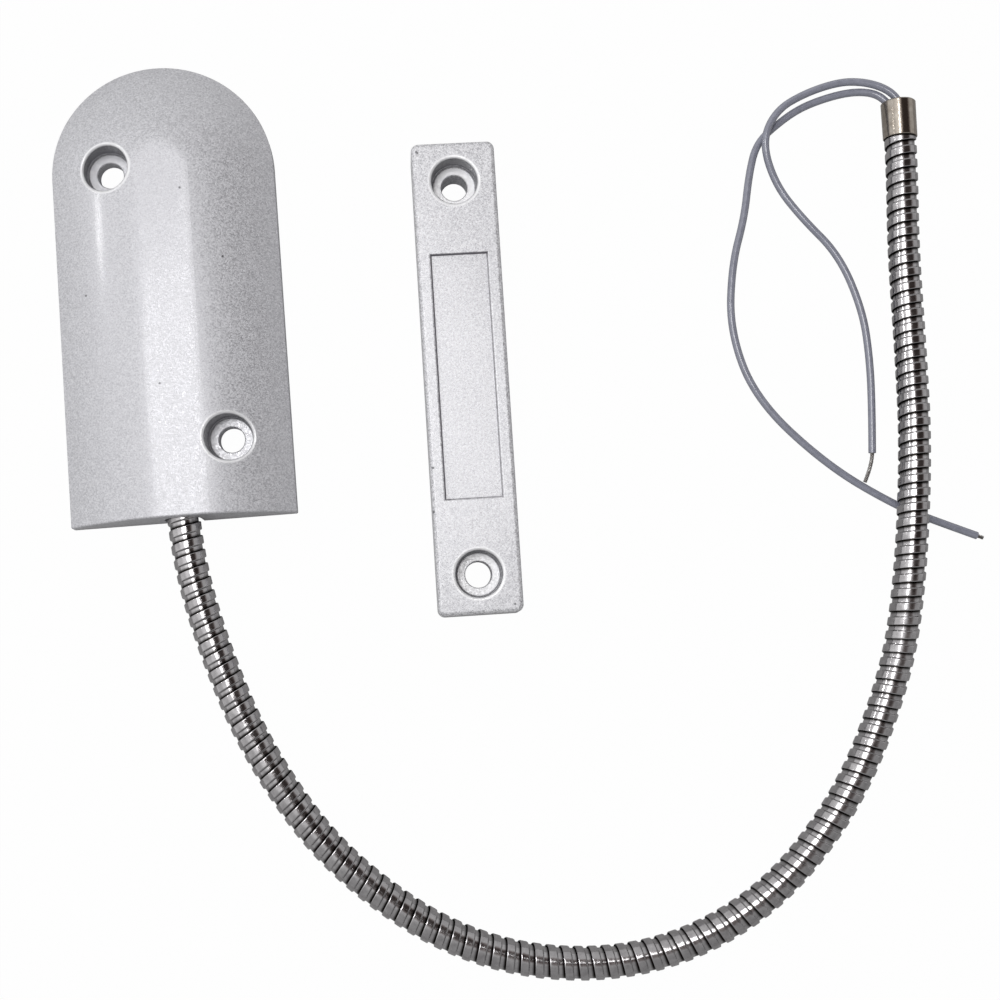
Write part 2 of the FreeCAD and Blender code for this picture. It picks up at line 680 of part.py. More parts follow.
def make_capsule():
    """Glass tube, closed round the lead at each end."""
    outer = "capsule_diameter / 2"
    inner = "capsule_diameter / 2 - capsule_glass"
    lead = "lead_diameter / 2"
    end = "capsule_length / 2"
    seal = "(capsule_length / 2 - capsule_seal_length)"
    shoulder = "(capsule_length / 2 - capsule_end_bevel)"
    taper = "(capsule_length / 2 - capsule_seal_length - capsule_end_bevel)"
    capsule = turned_body("reed_capsule", [
        (lead, "-" + end), (outer + " - capsule_end_bevel", "-" + end), (outer, "-" + shoulder),
        (outer, shoulder), (outer + " - capsule_end_bevel", end), (lead, end), (lead, seal),
        (inner, taper), (inner, "-" + taper), (lead, "-" + seal)])
    place(capsule, REED_X, REED_Y, "reed_height")
    return capsule


def make_blade(label, rotation, tip_shift):
    """One reed: a round lead that is flattened to a paddle, its tip at the body's origin."""
    body = new_body(label)
    paddle = new_sketch(body, label + "_paddle_section", "XZ_Plane")
    low = "contact_gap / 2"
    high = "contact_gap / 2 + paddle_thickness"
    draw_outline(paddle, [("-paddle_width / 2", low), ("paddle_width / 2", low),
                          ("paddle_width / 2", high), ("-paddle_width / 2", high)])
    add_pad(body, label + "_paddle", paddle, "paddle_length", backwards=True)
    lead = new_sketch(body, label + "_lead_section", "XZ_Plane", "-(paddle_length - paddle_root_length)")
    draw_circle(lead, "0", "0", "lead_diameter")
    add_pad(body, label + "_lead", lead,
            "lead_reach + paddle_overlap / 2 - paddle_length + paddle_root_length", backwards=True)
    body.Placement = FreeCAD.Placement(Vector(0, 0, 0), rotation)
    place(body, REED_X, REED_Y + " + " + tip_shift, "reed_height")
    return body


def make_solder_joint(label, rotation, side):
    """Solder that joins a lead's end to the wire; its wire face is at the body's origin."""
    body = turned_body(label, [
        ("0", "0"), ("solder_diameter / 2", "0"), ("solder_diameter / 2", "solder_length"),
        ("lead_diameter / 2", "solder_length"), ("lead_diameter / 2", "solder_length - solder_wets_lead"),
        ("0", "solder_length - solder_wets_lead")])
    body.Placement = FreeCAD.Placement(Vector(0, 0, 0), rotation)
    reach = "(lead_reach + solder_length - solder_wets_lead)"
    place(body, REED_X, "%s %s %s" % (REED_Y, side, reach), "reed_height")
    return body


def tube_corners(bore, outer, length):
    return [(bore + " / 2", "0"), (outer + " / 2", "0"), (outer + " / 2", length), (bore + " / 2", length)]


def make_joint_sleeve(label, rotation, side):
    """Heat-shrink sleeve over a soldered joint, its lead end at the body's origin."""
    body = turned_body(label, tube_corners("sleeve_bore", "sleeve_diameter", "sleeve_length"))
    body.Placement = FreeCAD.Placement(Vector(0, 0, 0), rotation)
    inner_end = "(lead_reach - solder_wets_lead - sleeve_onto_lead)"
    place(body, REED_X, "%s %s %s" % (REED_Y, side, inner_end), "reed_height")
    return body


def make_buffer_sleeve():
    body = turned_body("reed_buffer_sleeve", tube_corners("buffer_bore", "buffer_diameter", "buffer_length"))
    place(body, REED_X, REED_Y + " - buffer_length / 2", "reed_height")
    return body


def rod_space(name, diameter, length, across, along, height):
    """Room taken in the potting by something round that lies along Y."""
    rod = doc.addObject("Part::Cylinder", name)
    bind(rod, "Radius", "(%s) / 2" % diameter)
    bind(rod, "Height", length)
    rod.Placement = FreeCAD.Placement(Vector(0, 0, 0), FreeCAD.Rotation(Vector(1, 0, 0), -90))
    place(rod, across, along, height)
    return rod


def make_switch_potting(wires):
    """Resin that fills the housing round everything that is potted in it."""
    inner_end = "(lead_reach - solder_wets_lead - sleeve_onto_lead)"
    spaces = [
        rod_space("buffer_space", "buffer_diameter", "buffer_length",
                  REED_X, REED_Y + " - buffer_length / 2", "reed_height"),
        rod_space("lead_space", "lead_diameter", "2 * %s" % inner_end,
                  REED_X, "%s - %s" % (REED_Y, inner_end), "reed_height"),
        rod_space("sleeve_a_space", "sleeve_diameter", "sleeve_length",
                  REED_X, "%s - %s - sleeve_length" % (REED_Y, inner_end), "reed_height"),
        rod_space("sleeve_b_space", "sleeve_diameter", "sleeve_length",
                  REED_X, "%s + %s" % (REED_Y, inner_end), "reed_height"),
        rod_space("crimp_ring_space", "hose_diameter + 2 * crimp_ring_clearance + 2 * crimp_ring_wall",
                  "crimp_ring_length", "0", "%s - crimp_ring_length" % HOSE_INNER_END_Y, "outlet_height"),
        rod_space("hose_space", "hose_diameter", "hose_inside_housing", "0", END_FACE_Y, "outlet_height"),
    ]
    embedded = doc.addObject("Part::MultiFuse", "embedded_pieces")
    embedded.Shapes = spaces + wires
    potting = doc.addObject("Part::Cut", "switch_potting")
    potting.Label = "switch_potting"
    potting.Base = switch_cavity("switch_fill", "potting_recess")
    potting.Tool = embedded
    place(potting)
    return potting


# Magnet unit

def set_down_magnet_piece(piece):
    piece.Placement = FreeCAD.Placement(Vector(0, 0, 0), FreeCAD.Rotation(UP, val("magnet_turn")))
    bind(piece, "Placement.Rotation.Angle", "magnet_turn")
    place(piece, "magnet_place_across", "magnet_place_along", "0")


def standing_corner(point, half_width, half_length):
    return abs(abs(point.x) - half_width) < 0.01 and abs(abs(point.y) - half_length) < 0.01


def make_magnet_case():
    body = new_body("magnet_case")
    foot = new_sketch(body, "magnet_foot", "XY_Plane")
    draw_rectangle(foot, "magnet_width", "magnet_length")
    block = add_pad(body, "magnet_block", foot, "magnet_height")
    bind(block, "TaperAngle", "-magnet_draft")

    # Drafted corners, then the soft edge round the top
    slope = math.tan(math.radians(val("magnet_draft")))
    dress_edges(body, "Fillet", "magnet_corners", "Radius", "magnet_corner_radius",
                lambda point: standing_corner(point, val("magnet_width / 2") - point.z * slope,
                                              val("magnet_length / 2") - point.z * slope))
    top = val("magnet_height")
    dress_edges(body, "Fillet", "magnet_soft_edge", "Radius", "magnet_edge_radius",
                lambda point: abs(point.z - top) < 0.01)

    # Label panel, sunk in the top face with a soft rim
    panel = new_sketch(body, "label_panel_outline", "XY_Plane", "magnet_height")
    draw_rectangle(panel, "panel_width", PANEL_LENGTH)
    add_pocket(body, "label_panel", panel, "panel_depth")
    half_width = val("panel_width / 2")
    half_length = val(PANEL_LENGTH + " / 2")
    dress_edges(body, "Fillet", "label_panel_rim", "Radius", "panel_rim_radius",
                lambda point: abs(point.z - top) < 0.01 and abs(point.x) < half_width + 0.01
                and abs(point.y) < half_length + 0.01)

    # Screw holes in their pockets
    counterbored_holes(body, "magnet_screw_holes", magnet_screws, "magnet_height",
                       "magnet_screw_floor", "magnet_hole_diameter", "magnet_pocket_diameter")
    floor = val("magnet_screw_floor")
    dress_edges(body, "Chamfer", "magnet_hole_edges", "Size", "hole_edge_chamfer",
                lambda point: abs(point.z - floor) < 0.01
                and near_axis(point, magnet_screws, val("magnet_hole_diameter / 2")))
    dress_edges(body, "Fillet", "magnet_pocket_floor_corners", "Radius", "pocket_floor_radius",
                lambda point: abs(point.z - floor) < 0.01
                and near_axis(point, magnet_screws, val("magnet_pocket_diameter / 2")))
    dress_edges(body, "Fillet", "magnet_pocket_rims", "Radius", "pocket_rim_radius",
                lambda point: abs(point.z - top) < 0.01
                and near_axis(point, magnet_screws, val("magnet_pocket_diameter / 2")))

    # The hollow for the magnet, open at the back
    cavity = new_sketch(body, "magnet_cavity_outline", "XY_Plane")
    draw_rectangle(cavity, "magnet_width - 2 * magnet_wall", "2 * " + CAVITY_HALF_LENGTH)
    add_pocket(body, "magnet_cavity", cavity, MAGNET_ROOF, backwards=True)
    dress_edges(body, "Fillet", "magnet_cavity_corners", "Radius", "magnet_cavity_radius",
                in_cavity_corner)
    set_down_magnet_piece(body)
    return body


def in_cavity_corner(point):
    return standing_corner(point, val("magnet_width / 2 - magnet_wall"), val(CAVITY_HALF_LENGTH))


def make_magnet_bar():
    """Ferrite bar that lies against the roof of the magnet unit's hollow."""
    body = new_body("magnet_bar")
    section = new_sketch(body, "magnet_bar_outline", "XY_Plane", "%s - bar_height" % MAGNET_ROOF)
    draw_rectangle(section, "bar_width", BAR_LENGTH)
    add_pad(body, "magnet_bar_block", section, "bar_height")
    dress_edges(body, "Fillet", "magnet_bar_corners", "Radius", "bar_edge_radius",
                lambda point: standing_corner(point, val("bar_width / 2"), val(BAR_LENGTH + " / 2")))
    set_down_magnet_piece(body)
    return body


def make_magnet_potting(bar):
    fill = new_body("magnet_fill")
    outline = new_sketch(fill, "magnet_fill_outline", "XY_Plane", "potting_recess")
    draw_rectangle(outline, "magnet_width - 2 * magnet_wall", "2 * " + CAVITY_HALF_LENGTH)
    add_pad(fill, "magnet_fill_block", outline, "%s - potting_recess" % MAGNET_ROOF)
    dress_edges(fill, "Fillet", "magnet_fill_corners", "Radius", "magnet_cavity_radius", in_cavity_corner)
    set_down_magnet_piece(fill)
    potting = doc.addObject("Part::Cut", "magnet_potting")
    potting.Label = "magnet_potting"
    potting.Base = fill
    potting.Tool = bar
    place(potting)
    return potting


# All the pieces

cords = make_cords()
magnet_bar = make_magnet_bar()
sub_parts = [
    make_switch_housing(),
    make_switch_potting([cords[1], cords[2]]),
    make_capsule(),
    make_blade("reed_blade_a", half_turn, "paddle_overlap / 2"),
    make_blade("reed_blade_b", flip_over, "-paddle_overlap / 2"),
    make_buffer_sleeve(),
    make_solder_joint("solder_joint_a", FreeCAD.Rotation(), "-"),
    make_solder_joint("solder_joint_b", half_turn, "+"),
    make_joint_sleeve("joint_sleeve_a", half_turn, "-"),
    make_joint_sleeve("joint_sleeve_b", FreeCAD.Rotation(), "+"),
    make_crimp_ring(),
    make_end_ferrule(),
    make_ferrule_bush(),
    make_magnet_case(),
    magnet_bar,
    make_magnet_potting(magnet_bar),
] + cords

doc.recompute()
for item in doc.Objects:
    assert "Invalid" not in item.State and "Error" not in item.State, item.Label + " failed"
for piece in sub_parts:
    assert not piece.Shape.isNull() and piece.Shape.isValid(), piece.Label + " has no valid shape"
    assert len(piece.Shape.Solids) == 1, piece.Label + " is not one solid"

os.makedirs("parts", exist_ok=True)
for piece in sub_parts:
    piece.Shape.exportStep("parts/%s.step" % piece.Label)
    box = piece.Shape.BoundBox
    print(piece.Label, "volume", round(piece.Shape.Volume, 1), "box",
          [round(edge, 2) for edge in (box.XMin, box.YMin, box.ZMin, box.XMax, box.YMax, box.ZMax)])
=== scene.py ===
# %% [markdown]
# # A door alarm sensor, dressed for its picture
# The object is a magnetic door contact in two cast units. One holds a reed switch and has an
# armoured lead, the other holds a magnet and goes on the door. Its measured solids are loaded as
# a frame, and this lesson adds what a solid model leaves out: the wound hose, the soft wires, the
# twisted copper and every surface finish. All lengths in the frame are metres.

# %% [markdown]
# ## Loading the solids

# %% Load the imported frame
import math
import bmesh
import bpy
from mathutils import Matrix, Vector


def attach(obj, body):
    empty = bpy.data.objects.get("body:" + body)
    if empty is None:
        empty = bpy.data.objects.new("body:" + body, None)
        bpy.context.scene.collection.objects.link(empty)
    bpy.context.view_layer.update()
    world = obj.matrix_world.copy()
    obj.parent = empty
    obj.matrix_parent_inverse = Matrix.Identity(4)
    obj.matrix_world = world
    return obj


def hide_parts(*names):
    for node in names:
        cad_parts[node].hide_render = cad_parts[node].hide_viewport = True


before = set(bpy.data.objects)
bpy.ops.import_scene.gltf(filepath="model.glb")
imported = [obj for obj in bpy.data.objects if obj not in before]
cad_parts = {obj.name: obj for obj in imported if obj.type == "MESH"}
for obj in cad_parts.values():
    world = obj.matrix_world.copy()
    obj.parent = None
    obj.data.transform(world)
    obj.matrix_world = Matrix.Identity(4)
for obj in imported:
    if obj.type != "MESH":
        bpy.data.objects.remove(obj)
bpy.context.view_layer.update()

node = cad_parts
MM = 0.001

# %% [markdown]
# ## The camera
# The picture was taken by hand from above, tilted a few degrees, so a camera straight over the
# table would show the wrong sides of the deep pockets. The camera's place and its three axes were
# fitted to the outlines of both castings. They are written as numbers here, because a fitted
# camera is a measurement and not a matter of taste.

# %% Camera
camera_place = Vector((55.15, -74.64, 311.94)) * MM
camera_axes = Matrix(((0.99580, -0.08000, 0.04445), (0.07603, 0.99349, 0.08479),
                      (-0.05095, -0.08105, 0.99541))).transposed()
camera_data = bpy.data.cameras.new("camera")
camera_data.sensor_width = 36.0
camera_data.lens = 49.3
camera_data.clip_start = 0.01
camera = bpy.data.objects.new("camera", camera_data)
camera.matrix_world = Matrix.Translation(camera_place) @ camera_axes.to_4x4()
bpy.context.scene.collection.objects.link(camera)
bpy.context.scene.camera = camera
print("camera height in mm", round(camera.location.z / MM, 1))

# %% [markdown]
# ## The routes of the hose and the wires
# A cord is a real length of something flexible, so its route comes before its shape. Each route
# is a short list of points on the table, with its heights. A NURBS spline of order 3 turns them
# into one smooth line, as a stiff hose and soft wires would lie. The points are in millimetres
# from the foot of the switch housing's square end.

# %% Routes
end_face_y = -48.8
# Heights of the cords' centre lines over the table, where they lie and where they cross a wire
hose_lie, over_wire = 3.75, 5.9
wire_lie, wire_over_wire = 0.925, 2.875
hose_points = [
    (0, 7.3, 4.25), (0, -5.2, 4.25), (4.5, -27.7, hose_lie), (13.5, -53.7, hose_lie),
    (30, -79.7, hose_lie), (58, -100.7, hose_lie), (91.5, -106.2, hose_lie),
    (121, -96.7, hose_lie), (143, -75.2, hose_lie), (157, -48.2, hose_lie), (162, -26.7, over_wire),
    (166.5, 3.3, over_wire), (168.5, 26.8, hose_lie), (169.2, 50, 3.9), (170.95, 70, 4.07),
    (171.35, 80.45, 4.2)]
wire_a_start = [(14, 52.8, 3.4), (14, 41.3, 3.4), (8, 26.1, 4.25), (0, 14.8, 5.25)]
wire_a_tail = [
    (171.65, 70, 4.77), (172.1, 77.8, 4.5), (172.35, 82.9, 4.6), (171.3, 86.5, 4.6),
    (168.5, 89.1, 4.4), (164, 90.9, 4), (158.5, 91.5, 3.4), (150.5, 89.6, wire_over_wire),
    (143, 85.9, wire_over_wire), (138.9, 78.6, wire_over_wire), (141.5, 68.8, wire_lie),
    (147, 60.3, wire_lie), (155, 50.8, wire_lie), (159.2, 37.3, wire_lie), (159.7, 25.8, wire_lie),
    (159, 13.8, wire_lie), (158, 3.8, wire_lie)]
wire_b_start = [
    (14, 84.8, 3.4), (14, 89.1, 3.4), (11.5, 92.6, 3.4), (7.4, 93.9, 3.4), (3.4, 92.6, 3.4),
    (0.8, 89.1, 3.4), (1.2, 81.3, 3.4), (1.6, 67.8, 3.4), (-0.4, 50.9, 3.4), (0.8, 33, 3.25),
    (0, 15.8, 3.25)]
wire_b_tail = [
    (170.25, 70, 3.37), (170.1, 76.5, 3.9), (170.2, 80, 3.9), (170.05, 83.5, 3.8),
    (168.75, 86.6, 3.5), (165.95, 88.6, 3.0), (161.3, 89.2, 2.5), (155.5, 88.4, 1.9),
    (149, 86.5, 1.3), (143.5, 83.2, wire_lie), (138, 78.8, wire_lie), (135.5, 71.3, wire_lie),
    (133.5, 61.3, wire_lie), (129.5, 50.3, wire_lie), (127.5, 34.8, wire_lie),
    (132, 18.3, wire_lie), (147, 1.8, wire_lie), (162, -8.7, wire_lie), (171.5, -13.2, wire_lie),
    (180.5, -17.2, wire_lie)]
strand_a_points = [(158, 3.8, wire_lie), (157.75, 1.3, wire_lie), (155.7, -2.8, 0.6)]
strand_b_points = [(180.5, -17.2, wire_lie), (181.2, -17.5, wire_lie), (181.85, -17.8, wire_lie)]


def through_hose(lift):
    """The hose's own points up to its last bend, moved up or down off its axis."""
    return [(x, y, z + lift) for x, y, z in hose_points[1:-2]]


wire_off_axis = 1.0
wire_a_points = wire_a_start + through_hose(wire_off_axis) + wire_a_tail
wire_b_points = wire_b_start + through_hose(-wire_off_axis) + wire_b_tail


def smooth_route(name, points, steps=24):
    """One open NURBS spline in the table's frame, with no thickness yet."""
    data = bpy.data.curves.new(name, "CURVE")
    data.dimensions = "3D"
    data.resolution_u = steps
    spline = data.splines.new("NURBS")
    spline.points.add(len(points) - 1)
    for slot, (x, y, z) in zip(spline.points, points):
        slot.co = (x * MM, (y + end_face_y) * MM, z * MM, 1.0)
    spline.order_u = 3
    spline.use_endpoint_u = True
    route = bpy.data.objects.new(name, data)
    bpy.context.scene.collection.objects.link(route)
    return route


def points_along(name, points):
    """The smooth line as a chain of points, read from the spline; the spline itself goes."""
    route = smooth_route(name, points)
    line = bpy.data.meshes.new_from_object(route)
    chain = [vert.co.copy() for vert in line.vertices]
    bpy.data.objects.remove(route)
    bpy.data.meshes.remove(line)
    return chain


def chain_length(chain):
    return sum((b - a).length for a, b in zip(chain, chain[1:]))


hose_chain = points_along("hose_line", hose_points)
print("hose length in mm", round(chain_length(hose_chain) / MM, 1))

# %% [markdown]
# ## Bending a straight piece onto a route
# The hose and the copper strands are easiest to make straight, by spinning a section round an
# axis while it moves along. Then every point is carried to its place on the route. The section
# stays rigid while the line under it bends, so the windings open on the outside of a bend and
# close on its inside, as real ones do.

# %% Places on a route
crease_angle = math.radians(50)
weld_distance = 0.001 * MM


def stations(chain):
    """For each point of a chain: how far along it lies, its place and its three directions."""
    made = []
    travelled = 0.0
    for index, place in enumerate(chain):
        before = chain[max(index - 1, 0)]
        after = chain[min(index + 1, len(chain) - 1)]
        ahead = (after - before).normalized()
        side = ahead.cross(Vector((0, 0, 1))).normalized()
        made.append((travelled, place, side, ahead, side.cross(ahead)))
        if after is not place:
            travelled += (after - place).length
    return made


def bend_along(bm, stops, offset_layer):
    """Carries a piece that is straight along Y onto a route, each section kept rigid."""
    reach = stops[-1][0]
    index = 0
    for vert in bm.verts:
        offset = vert[offset_layer]
        along = min(max(vert.co.y - offset, 0.0), reach)
        while index > 0 and stops[index][0] > along:
            index -= 1
        while index < len(stops) - 2 and stops[index + 1][0] < along:
            index += 1
        low, high = stops[index], stops[index + 1]
        share = (along - low[0]) / (high[0] - low[0])
        place, side, ahead, up = (low[k].lerp(high[k], share) for k in range(1, 5))
        vert.co = place + side * vert.co.x + ahead * offset + up * vert.co.z


def finished_piece(name, bm, smooth_angle=None):
    """Turns a bmesh into an object on the scene, with its normals outwards."""
    bmesh.ops.recalc_face_normals(bm, faces=bm.faces[:])
    for face in bm.faces:
        face.smooth = True
    if smooth_angle is not None:
        for edge in bm.edges:
            edge.smooth = len(edge.link_faces) < 2 or edge.calc_face_angle(0.0) < smooth_angle
    mesh = bpy.data.meshes.new(name)
    bm.to_mesh(mesh)
    bm.free()
    piece = bpy.data.objects.new(name, mesh)
    bpy.context.scene.collection.objects.link(piece)
    triangles = sum(len(polygon.vertices) - 2 for polygon in mesh.polygons)
    print(name, "has", triangles, "triangles")
    return piece


hose_stops = stations(hose_chain)
print(len(hose_stops), "places on the hose's route")

# %% [markdown]
# ## The armoured hose
# This kind of hose is one steel strip, rolled to an S-shaped section and wound so that each turn
# hooks over the turn before it. From outside it shows a wide raised band, a lower band beside it
# and a thin dark gap under the raised band's free edge. A bump map on a tube would have a smooth
# outline, so the strip is really wound: its section is a few points, and a spin with a step forward
# makes a turn of it.

# %% Hose section
pitch = 3.2 * MM
turn_steps = 26
# (along, radius) of the strip's section in millimetres, outer side first
strip_section = [
    (0.00, 3.38), (0.01, 3.54), (0.08, 3.62), (0.20, 3.65), (0.26, 3.65), (1.56, 3.65),
    (1.62, 3.65), (1.75, 3.61), (1.82, 3.52), (1.86, 3.30), (1.94, 3.22), (2.04, 3.20),
    (2.10, 3.20), (3.54, 3.20), (3.60, 3.20), (3.60, 2.95), (1.76, 2.95), (1.62, 3.05),
    (1.58, 3.32), (1.48, 3.38), (0.30, 3.38)]
strip_width = max(along for along, radius in strip_section) * MM
print(len(strip_section), "points in the strip's section")

# %% [markdown]
# ## Winding the strip
# One spin makes one turn. Copies of it are set end to end and their shared points are welded, so
# the whole hose is one closed strip. Two numbers stay with every point, its place across the strip
# and along the route, because the painted shade in the gaps and inside the ferrule is placed by
# them.

# %% Hose winding
turns = int((hose_stops[-1][0] - strip_width) / pitch)
bm = bmesh.new()
offset_layer = bm.verts.layers.float.new("offset")
across_layer = bm.verts.layers.float.new("across")
ring = []
for along, radius in strip_section:
    vert = bm.verts.new((radius * MM, along * MM, 0.0))
    vert[offset_layer] = along * MM
    vert[across_layer] = along
    ring.append(vert)
rim = [bm.edges.new((a, b)) for a, b in zip(ring, ring[1:] + ring[:1])]
bmesh.ops.spin(bm, geom=rim, cent=(0, 0, 0), axis=(0, 1, 0), dvec=(0, pitch / turn_steps, 0),
               angle=math.tau, steps=turn_steps, use_merge=False, use_duplicate=False)
one_turn = bm.verts[:] + bm.edges[:] + bm.faces[:]
for number in range(1, turns):
    copied = bmesh.ops.duplicate(bm, geom=one_turn)["geom"]
    moved = [part for part in copied if isinstance(part, bmesh.types.BMVert)]
    bmesh.ops.translate(bm, verts=moved, vec=(0, number * pitch, 0))
bmesh.ops.remove_doubles(bm, verts=bm.verts[:], dist=weld_distance)
route_layer = bm.verts.layers.float.new("along_route")
for vert in bm.verts:
    vert[route_layer] = vert.co.y / MM
open_edges = [edge for edge in bm.edges if edge.is_boundary]
bmesh.ops.holes_fill(bm, edges=open_edges, sides=len(strip_section))
bend_along(bm, hose_stops, offset_layer)
hose = finished_piece("hose_winding", bm, crease_angle)
print(turns, "turns of strip")

# %% [markdown]
# ## The two wires
# Each wire is a soft round insulation with one even thickness from its solder joint, through the
# hose, to its free end. A curve with a round bevel draws exactly that. It is then kept as a closed
# tube, with its flat cut ends joined on.

# %% Wires
wire_radius = 0.875 * MM


def insulated_wire(name, points):
    route = smooth_route(name + "_route", points, steps=12)
    route.data.bevel_depth = wire_radius
    route.data.bevel_resolution = 4
    route.data.use_fill_caps = True
    tube = bpy.data.meshes.new_from_object(route)
    bm = bmesh.new()
    bm.from_mesh(tube)
    bpy.data.objects.remove(route)
    bpy.data.meshes.remove(tube)
    bmesh.ops.remove_doubles(bm, verts=bm.verts[:], dist=weld_distance)
    wire = finished_piece(name, bm, crease_angle)
    chain = points_along(name + "_line", points)
    print(name, "length in mm", round(chain_length(chain) / MM, 1))
    return wire, chain


wire_a, wire_a_chain = insulated_wire("insulated_wire_a", wire_a_points)
wire_b, wire_b_chain = insulated_wire("insulated_wire_b", wire_b_points)

# %% [markdown]
# ## The bare ends
# Where the insulation is stripped, seven fine copper strands lie in a loose right-hand twist.
# Seven small circles are set out round an axis and spun forward together, which draws seven
# helices in one go. Then the bundle is bent onto its own short route, starting inside the wire.

# %% Twisted strands
strand_count = 7
strand_sides = 8
strand_radius = 0.15 * MM
strand_step = 0.15 * MM
twist_pitch = 5.0 * MM
inside_wire = 1.5 * MM


def twisted_strands(name, points):
    chain = points_along(name + "_line", points)
    behind = (chain[0] - chain[1]).normalized() * inside_wire
    stops = stations([chain[0] + behind] + chain)
    length = stops[-1][0]
    bm = bmesh.new()
    offset_layer = bm.verts.layers.float.new("offset")
    upright = Matrix.Rotation(math.pi / 2, 4, "X")
    for number in range(strand_count):
        # The first strand is the core, and the other six lie round it
        turned = Matrix.Rotation(math.tau * number / (strand_count - 1), 4, "Y")
        out = Matrix.Translation((2 * strand_radius if number else 0, 0, 0))
        bmesh.ops.create_circle(bm, segments=strand_sides, radius=strand_radius,
                                matrix=turned @ out @ upright)
    steps = max(12, int(length / strand_step))
    bmesh.ops.spin(bm, geom=bm.edges[:], cent=(0, 0, 0), axis=(0, 1, 0),
                   dvec=(0, length / steps, 0), angle=math.tau * length / twist_pitch,
                   steps=steps, use_merge=False, use_duplicate=False)
    bmesh.ops.holes_fill(bm, edges=bm.edges[:], sides=strand_sides)
    bend_along(bm, stops, offset_layer)
    return finished_piece(name, bm)


strands_a = twisted_strands("copper_strands_a", strand_a_points)
strands_b = twisted_strands("copper_strands_b", strand_b_points)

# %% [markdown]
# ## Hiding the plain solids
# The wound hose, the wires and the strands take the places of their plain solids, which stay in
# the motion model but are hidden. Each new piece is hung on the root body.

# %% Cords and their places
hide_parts("armoured_conduit")
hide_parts("wire_a")
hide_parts("wire_b")
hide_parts("wire_a_strands")
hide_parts("wire_b_strands")
for piece, record_slot in ((hose, "stainless_strip"), (wire_a, "grey_pvc"), (wire_b, "grey_pvc"),
                           (strands_a, "tinned_copper"), (strands_b, "tinned_copper")):
    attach(piece, "root")
    print(piece.name, "has the slot", record_slot)

# %% [markdown]
# ## Colours and nodes
# A colour is written as the hex value that a picture shows, and one function turns it to the
# linear values that the renderer works in. One more function adds a shader node with its settings
# and links, so that each finish below reads as a short recipe. Few kinds of node are needed: a
# noise is an uneven value, Map Range stretches part of it to a new range, Math puts two values
# together, and Mix goes from one colour to another.

# %% Colour and node helpers
def linear(hex_colour, alpha=1.0):
    channels = [int(hex_colour[k:k + 2], 16) / 255 for k in (1, 3, 5)]
    return tuple(c / 12.92 if c <= 0.04045 else ((c + 0.055) / 1.055) ** 2.4
                 for c in channels) + (alpha,)


def give(tree, taker, *values, **named):
    """Gives a node its inputs, in order or by name. Plain values are set, nodes are linked."""
    sockets = [socket for socket in taker.inputs if socket.enabled][:len(values)]
    sockets += [taker.inputs[name.replace("_", " ")] for name in named]
    for socket, value in zip(sockets, (*values, *named.values())):
        if isinstance(value, bpy.types.Node):
            value = next(output for output in value.outputs if output.enabled)
        if isinstance(value, bpy.types.NodeSocket):
            tree.links.new(value, socket)
        else:
            socket.default_value = linear(value) if isinstance(value, str) else value


def add(tree, kind, *values, **named):
    """Adds a node: names in small letters are its settings, and all the rest are its inputs."""
    made = tree.nodes.new("ShaderNode" + kind)
    for name in [name for name in named if name.islower()]:
        setattr(made, name, named.pop(name))
    give(tree, made, *values, **named)
    return made


def new_finish(name, **fixed):
    """A material with one Principled shader whose uniform values are set on its own sockets."""
    finish = bpy.data.materials.new(name)
    finish.use_nodes = True
    tree = finish.node_tree
    shader = tree.nodes["Principled BSDF"]
    give(tree, shader, **fixed)
    return finish, tree, shader


print("mid grey #808080 is", round(linear("#808080")[0], 3), "in linear light")

# %% [markdown]
# ## Painted light and shade
# Light and shade in the hollows are painted into the paint's colour. The screws' pockets get
# painted shade on their walls and at their foot, a painted highlight round their rims and painted
# light on their seats, and painted shade lies along the rim of the label panel. No picture is
# needed for that. The distance from a screw's axis and the height over the table say where each
# mark is, and its colour is mixed over the paint.

# %% Painted light and shade
panel_floor, case_top = 11.0, 11.7


def band(tree, value, rise, fall, most=1.0):
    """A mask that goes up to its most over one range of the value and down over another."""
    return add(tree, "Math", add(tree, "MapRange", value, *rise, 0.0, most),
               add(tree, "MapRange", value, *fall, 1.0, 0.0), operation="MULTIPLY")


def from_nearest(tree, place, spots):
    """How many millimetres a point lies from the nearest of some upright axes, given as (x, y)."""
    flat = add(tree, "VectorMath", place, (1 / MM, 1 / MM, 0.0), operation="MULTIPLY")
    closest = None
    for x, y in spots:
        away = add(tree, "VectorMath", flat, (x, y, 0.0), operation="DISTANCE")
        if closest is not None:
            away = add(tree, "Math", closest, away, operation="MINIMUM")
        closest = away
    return closest


